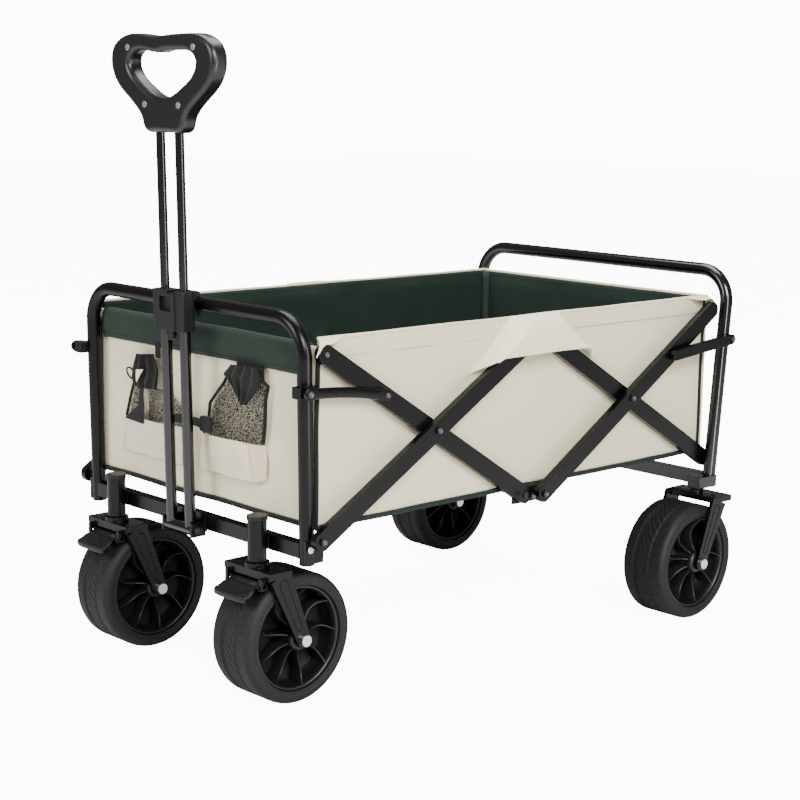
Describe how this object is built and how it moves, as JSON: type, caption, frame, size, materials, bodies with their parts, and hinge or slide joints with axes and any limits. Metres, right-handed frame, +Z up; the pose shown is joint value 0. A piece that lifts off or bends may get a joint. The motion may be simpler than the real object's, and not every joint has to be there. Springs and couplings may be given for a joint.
{
  "type": "beach cart",
  "caption": "Folding cart with a fabric tub held in crossed side links between tube end frames, a telescopic pull handle, swivel front casters with brake pedals, and wide tyres",
  "frame": {"origin": "centre of the footprint on the floor", "axes": "+X to the rear, away from the pull handle; +Y to the cart's left, as seen by the person pulling; +Z up"},
  "size_m": [0.9255, 0.6382, 0.8758],
  "materials": {
    "black_steel": "satin black powder coat",
    "black_plastic": "fine-textured black moulding",
    "hub_plastic": "black moulding with spiral ribs",
    "tyre": "matt black with grooved tread",
    "zinc": "bright zinc plate",
    "pin_black": "black",
    "beige_fabric": "plain woven coated canvas, warm off-white",
    "green_fabric": "plain woven coated canvas, dark green",
    "webbing": "black webbing"
  },
  "bodies": {
    "hub": {"centre_bar": "black_steel", "hub_pins": "pin_black"},
    "front_hub_links": {"link_hub_to_corner_front_left": "black_steel", "link_hub_to_corner_front_right": "black_steel", "crossing_pins_front": "pin_black"},
    "front_foot_links": {"link_foot_to_top_front_left": "black_steel", "link_foot_to_top_front_right": "black_steel"},
    "front_end": {"frame_front": "black_steel", "socket_caps": "black_plastic", "handle_bracket": "black_steel", "handle_pivot_pin": "pin_black", "frame_pins_front": "pin_black"},
    "front_short_links": {"short_link_front_left": "black_steel", "short_link_front_right": "black_steel"},
    "rear_hub_links": {"link_hub_to_corner_rear_left": "black_steel", "link_hub_to_corner_rear_right": "black_steel", "crossing_pins_rear": "pin_black"},
    "rear_foot_links": {"link_foot_to_top_rear_left": "black_steel", "link_foot_to_top_rear_right": "black_steel"},
    "rear_end": {"frame_rear": "black_steel", "frame_pins_rear": "pin_black", "fork_rear_left": "black_steel", "fork_rear_right": "black_steel", "axles_rear": "zinc"},
    "rear_short_links": {"short_link_rear_left": "black_steel", "short_link_rear_right": "black_steel"},
    "top_hubs": {"top_hub_left": "black_plastic", "top_hub_right": "black_plastic"},
    "tub": {"tub_floor": "green_fabric", "tub_side_left": "beige_fabric", "tub_side_right": "beige_fabric", "tub_front": "beige_fabric", "tub_rear": "beige_fabric", "tub_front_band": "green_fabric", "pocket_left": "beige_fabric", "pocket_right": "beige_fabric", "pole_strap": "webbing", "tub_flap_left": "beige_fabric", "tub_flap_right": "beige_fabric"},
    "handle_lower": {"handle_lower_tubes": "black_steel", "handle_collar": "black_plastic"},
    "handle_upper": {"handle_upper_tube_left": "black_steel", "handle_upper_tube_right": "black_steel", "grip": "black_plastic", "grip_screws": "zinc"},
    "lock_button": {"lock_button": "black_plastic"},
    "caster_left": {"fork_front_left": "black_steel", "axle_front_left": "zinc"},
    "brake_pedal_left": {"brake_pedal_front_left": "black_plastic"},
    "front_wheel_left": {"tyre_front_left": "tyre", "wheel_hub_front_left": "hub_plastic"},
    "rear_wheel_left": {"tyre_rear_left": "tyre", "wheel_hub_rear_left": "hub_plastic"},
    "caster_right": {"fork_front_right": "black_steel", "axle_front_right": "zinc"},
    "brake_pedal_right": {"brake_pedal_front_right": "black_plastic"},
    "front_wheel_right": {"tyre_front_right": "tyre", "wheel_hub_front_right": "hub_plastic"},
    "rear_wheel_right": {"tyre_rear_right": "tyre", "wheel_hub_rear_right": "hub_plastic"}
  },
  "joints": [
    {"name": "fold", "type": "hinge", "parent": "hub", "child": "front_hub_links", "pos_m": [0.0041, 0, 0.24], "axis": [0, 1, 0], "range_deg": [0, 40]},
    {"name": "front_crossing", "type": "hinge", "parent": "front_hub_links", "child": "front_foot_links", "pos_m": [-0.1869, 0, 0.359], "axis": [0, 1, 0], "range_deg": [-80, 0]},
    {"name": "front_foot", "type": "hinge", "parent": "front_foot_links", "child": "front_end", "pos_m": [-0.3911, 0, 0.2387], "axis": [0, 1, 0], "range_deg": [0, 40]},
    {"name": "front_short", "type": "hinge", "parent": "front_end", "child": "front_short_links", "pos_m": [-0.4129, 0, 0.4315], "axis": [0, 1, 0], "range_deg": [-70, 0]},
    {"name": "top_hub", "type": "hinge", "parent": "front_foot_links", "child": "top_hubs", "pos_m": [0.0041, 0, 0.4715], "axis": [0, 1, 0], "range_deg": [0, 40]},
    {"name": "rear_fold", "type": "hinge", "parent": "hub", "child": "rear_hub_links", "pos_m": [0.0321, 0, 0.24], "axis": [0, 1, 0], "range_deg": [-40, 0]},
    {"name": "rear_crossing", "type": "hinge", "parent": "rear_hub_links", "child": "rear_foot_links", "pos_m": [0.2231, 0, 0.359], "axis": [0, 1, 0], "range_deg": [0, 80]},
    {"name": "rear_foot", "type": "hinge", "parent": "rear_foot_links", "child": "rear_end", "pos_m": [0.4273, 0, 0.2387], "axis": [0, 1, 0], "range_deg": [-40, 0]},
    {"name": "rear_short", "type": "hinge", "parent": "rear_end", "child": "rear_short_links", "pos_m": [0.4426, 0, 0.4315], "axis": [0, 1, 0], "range_deg": [0, 73]},
    {"name": "tub_rise", "type": "slide", "parent": "hub", "child": "tub", "axis": [0, 0, 1], "range_m": [0, 0.1919], "deforming": ["tub_floor", "tub_side_left", "tub_side_right", "tub_front", "tub_rear", "tub_front_band", "pocket_left", "pocket_right", "pole_strap", "tub_flap_left", "tub_flap_right"]},
    {"name": "handle_swing", "type": "hinge", "parent": "front_end", "child": "handle_lower", "pos_m": [-0.4171, 0, 0.212], "axis": [0, 1, 0], "range_deg": [-100, 0]},
    {"name": "handle_extend", "type": "slide", "parent": "handle_lower", "child": "handle_upper", "axis": [-0.0314, 0, 0.9995], "range_m": [-0.2, 0]},
    {"name": "lock_press", "type": "slide", "parent": "handle_lower", "child": "lock_button", "axis": [0.9995, 0, 0.0314], "range_m": [0, 0.0025], "stiffness_N_per_m": 600, "springref_m": -0.002},
    {"name": "caster_swivel_left", "type": "hinge", "parent": "front_end", "child": "caster_left", "pos_m": [-0.4134, 0.16, 0.197], "axis": [0, 0, 1], "continuous": true},
    {"name": "front_wheel_spin_left", "type": "hinge", "parent": "caster_left", "child": "front_wheel_left", "pos_m": [-0.3706, 0.16, 0.09], "axis": [0, 1, 0], "continuous": true},
    {"name": "rear_wheel_spin_left", "type": "hinge", "parent": "rear_end", "child": "rear_wheel_left", "pos_m": [0.3516, 0.266, 0.09], "axis": [0, 1, 0], "continuous": true},
    {"name": "brake_press_left", "type": "hinge", "parent": "caster_left", "child": "brake_pedal_left", "pos_m": [-0.4304, 0.16, 0.1715], "axis": [0, 1, 0], "range_deg": [-12, 0]},
    {"name": "caster_swivel_right", "type": "hinge", "parent": "front_end", "child": "caster_right", "pos_m": [-0.4134, -0.16, 0.197], "axis": [0, 0, 1], "continuous": true},
    {"name": "front_wheel_spin_right", "type": "hinge", "parent": "caster_right", "child": "front_wheel_right", "pos_m": [-0.3706, -0.16, 0.09], "axis": [0, 1, 0], "continuous": true},
    {"name": "rear_wheel_spin_right", "type": "hinge", "parent": "rear_end", "child": "rear_wheel_right", "pos_m": [0.3516, -0.266, 0.09], "axis": [0, 1, 0], "continuous": true},
    {"name": "brake_press_right", "type": "hinge", "parent": "caster_right", "child": "brake_pedal_right", "pos_m": [-0.4304, -0.16, 0.1715], "axis": [0, 1, 0], "range_deg": [-12, 0]}
  ],
  "couplings": [
    {"joint": "front_crossing", "follows": "fold", "ratio": -2},
    {"joint": "front_foot", "follows": "fold", "ratio": 1},
    {"joint": "front_short", "follows": "fold", "ratio": -1.744},
    {"joint": "top_hub", "follows": "fold", "ratio": 1},
    {"joint": "rear_fold", "follows": "fold", "ratio": -1},
    {"joint": "rear_crossing", "follows": "fold", "ratio": 2},
    {"joint": "rear_foot", "follows": "fold", "ratio": -1},
    {"joint": "rear_short", "follows": "fold", "ratio": 1.809},
    {"joint": "tub_rise", "follows": "fold", "m_per_rad": 0.2741}
  ]
}
